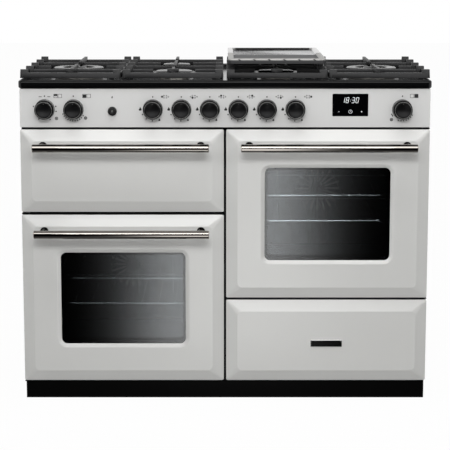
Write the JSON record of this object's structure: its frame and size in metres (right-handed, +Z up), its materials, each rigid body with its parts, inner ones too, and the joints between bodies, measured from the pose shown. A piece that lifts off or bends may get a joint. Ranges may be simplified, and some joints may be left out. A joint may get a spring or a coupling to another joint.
{
  "type": "range cooker",
  "caption": "Dual fuel range cooker: gas hob with cast iron pan supports and griddle, side hinged oven doors with windows, glide-out grill and storage drawer.",
  "frame": {"origin": "centre of the bounding box at floor level", "axes": "-Y is the front with the doors and knobs, +X is to the right seen from the front, +Z is up"},
  "size_m": [1.092, 0.676, 0.921],
  "materials": {
    "gloss_enamel_black": "gloss black enamel",
    "stone_paint": "gloss light stone paint",
    "galvanised": "zinc coated sheet",
    "polished_steel": "polished stainless steel",
    "brushed_steel": "brushed stainless steel",
    "cast_iron_black": "matt black enamelled cast iron",
    "burner_alloy": "die cast aluminium",
    "brass_fittings": "plain brass",
    "oven_enamel": "dark speckled oven enamel",
    "glass_dark": "dark printed oven glass",
    "display_glass": "black display glass",
    "knob_plastic": "dark grey moulded knob",
    "chromed_wire": "chromed wire",
    "seal_rope": "black door seal",
    "electrode_ceramic": "white ceramic",
    "plastic_black": "matt black",
    "griddle_alloy": "non-stick coated cast aluminium"
  },
  "bodies": {
    "carcass": {"side_panels": "gloss_enamel_black", "back_panel": "galvanised", "chassis": "galvanised", "front_frame": "gloss_enamel_black", "hob_trim": "gloss_enamel_black", "hob_tray": "gloss_enamel_black", "control_panel": "stone_paint", "display_panel": "display_glass", "grill_chamber": "oven_enamel", "left_oven_liner": "oven_enamel", "right_oven_liner": "oven_enamel", "oven_shelves": "chromed_wire", "oven_ladders": "chromed_wire", "fan_covers": "oven_enamel", "fan_motors": "galvanised", "heating_elements": "brushed_steel", "burner_bodies": "burner_alloy", "burner_caps": "cast_iron_black", "burner_probes": "electrode_ceramic", "gas_pipework": "galvanised", "control_valves": "brass_fittings", "plinth": "gloss_enamel_black", "levelling_feet": "plastic_black", "oven_seals": "seal_rope", "runner_outer_rails": "galvanised"},
    "left_door": {"left_door_skin": "stone_paint", "left_door_glass": "glass_dark", "left_door_liner": "oven_enamel", "left_door_handle": "polished_steel", "left_door_hinges": "brushed_steel"},
    "right_door": {"right_door_skin": "stone_paint", "right_door_glass": "glass_dark", "right_door_liner": "oven_enamel", "right_door_handle": "polished_steel", "right_door_hinges": "brushed_steel"},
    "grill_slide_out": {"grill_front": "stone_paint", "grill_handle": "polished_steel", "grill_carriage": "galvanised", "grill_pan": "oven_enamel", "grill_trivet": "chromed_wire"},
    "grill_runner_middle": {"grill_runner_middle": "galvanised"},
    "storage_drawer": {"drawer_front": "stone_paint", "drawer_box": "galvanised"},
    "gas_knob_1": {"gas_knob_1": "knob_plastic"},
    "gas_knob_2": {"gas_knob_2": "knob_plastic"},
    "gas_knob_3": {"gas_knob_3": "knob_plastic"},
    "gas_knob_4": {"gas_knob_4": "knob_plastic"},
    "gas_knob_5": {"gas_knob_5": "knob_plastic"},
    "gas_knob_6": {"gas_knob_6": "knob_plastic"},
    "grill_knob": {"grill_knob": "knob_plastic"},
    "left_oven_knob": {"left_oven_knob": "knob_plastic"},
    "right_oven_knob": {"right_oven_knob": "knob_plastic"},
    "igniter_button": {"igniter_button": "knob_plastic"},
    "pan_support_left": {"pan_support_left": "cast_iron_black"},
    "pan_support_centre_left": {"pan_support_centre_left": "cast_iron_black"},
    "pan_support_centre_right": {"pan_support_centre_right": "cast_iron_black"},
    "pan_support_right": {"pan_support_right": "cast_iron_black"},
    "griddle": {"griddle": "griddle_alloy"},
    "left_oven_fan": {"left_oven_fan": "brushed_steel"},
    "right_oven_fan": {"right_oven_fan": "brushed_steel"}
  },
  "joints": [
    {"name": "left_door_hinge", "type": "hinge", "parent": "carcass", "child": "left_door", "pos_m": [-0.532, -0.253, 0.283], "axis": [0, 0, -1], "range_deg": [0, 105]},
    {"name": "right_door_hinge", "type": "hinge", "parent": "carcass", "child": "right_door", "pos_m": [0.532, -0.253, 0.511], "axis": [0, 0, 1], "range_deg": [0, 105]},
    {"name": "grill_slide", "type": "slide", "parent": "carcass", "child": "grill_slide_out", "axis": [0, -1, 0], "range_m": [0, 0.36]},
    {"name": "grill_middle_slide", "type": "slide", "parent": "carcass", "child": "grill_runner_middle", "axis": [0, -1, 0], "range_m": [0, 0.18]},
    {"name": "drawer_slide", "type": "slide", "parent": "carcass", "child": "storage_drawer", "axis": [0, -1, 0], "range_m": [0, 0.28]},
    {"name": "gas_knob_1_turn", "type": "hinge", "parent": "carcass", "child": "gas_knob_1", "pos_m": [-0.1906, -0.27, 0.792], "axis": [0, -1, 0], "range_deg": [0, 210]},
    {"name": "gas_knob_2_turn", "type": "hinge", "parent": "carcass", "child": "gas_knob_2", "pos_m": [-0.1153, -0.27, 0.792], "axis": [0, -1, 0], "range_deg": [0, 210]},
    {"name": "gas_knob_3_turn", "type": "hinge", "parent": "carcass", "child": "gas_knob_3", "pos_m": [-0.04, -0.27, 0.792], "axis": [0, -1, 0], "range_deg": [0, 210]},
    {"name": "gas_knob_4_turn", "type": "hinge", "parent": "carcass", "child": "gas_knob_4", "pos_m": [0.0353, -0.27, 0.792], "axis": [0, -1, 0], "range_deg": [0, 210]},
    {"name": "gas_knob_5_turn", "type": "hinge", "parent": "carcass", "child": "gas_knob_5", "pos_m": [0.1106, -0.27, 0.792], "axis": [0, -1, 0], "range_deg": [0, 210]},
    {"name": "gas_knob_6_turn", "type": "hinge", "parent": "carcass", "child": "gas_knob_6", "pos_m": [0.1859, -0.27, 0.792], "axis": [0, -1, 0], "range_deg": [0, 210]},
    {"name": "grill_knob_turn", "type": "hinge", "parent": "carcass", "child": "grill_knob", "pos_m": [-0.476, -0.27, 0.792], "axis": [0, -1, 0], "range_deg": [-150, 150]},
    {"name": "left_oven_knob_turn", "type": "hinge", "parent": "carcass", "child": "left_oven_knob", "pos_m": [-0.4, -0.27, 0.792], "axis": [0, 1, 0], "range_deg": [0, 255]},
    {"name": "right_oven_knob_turn", "type": "hinge", "parent": "carcass", "child": "right_oven_knob", "pos_m": [0.4678, -0.27, 0.792], "axis": [0, 1, 0], "range_deg": [0, 255]},
    {"name": "igniter_push", "type": "slide", "parent": "carcass", "child": "igniter_button", "axis": [0, 1, 0], "range_m": [0, 0.003], "stiffness_N_per_m": 400},
    {"name": "left_support_lift", "type": "slide", "parent": "carcass", "child": "pan_support_left", "axis": [0, 0, 1], "range_m": [0, 0.12]},
    {"name": "centre_left_support_lift", "type": "slide", "parent": "carcass", "child": "pan_support_centre_left", "axis": [0, 0, 1], "range_m": [0, 0.12]},
    {"name": "centre_right_support_lift", "type": "slide", "parent": "carcass", "child": "pan_support_centre_right", "axis": [0, 0, 1], "range_m": [0, 0.12]},
    {"name": "right_support_lift", "type": "slide", "parent": "carcass", "child": "pan_support_right", "axis": [0, 0, 1], "range_m": [0, 0.12]},
    {"name": "griddle_lift", "type": "slide", "parent": "pan_support_centre_right", "child": "griddle", "axis": [0, 0, 1], "range_m": [0, 0.1]},
    {"name": "left_fan_spin", "type": "hinge", "parent": "carcass", "child": "left_oven_fan", "pos_m": [-0.27325, 0.2, 0.282], "axis": [0, 1, 0], "continuous": true},
    {"name": "right_fan_spin", "type": "hinge", "parent": "carcass", "child": "right_oven_fan", "pos_m": [0.27325, 0.2, 0.511], "axis": [0, 1, 0], "continuous": true}
  ],
  "couplings": [
    {"joint": "grill_middle_slide", "follows": "grill_slide", "ratio": 0.5}
  ]
}
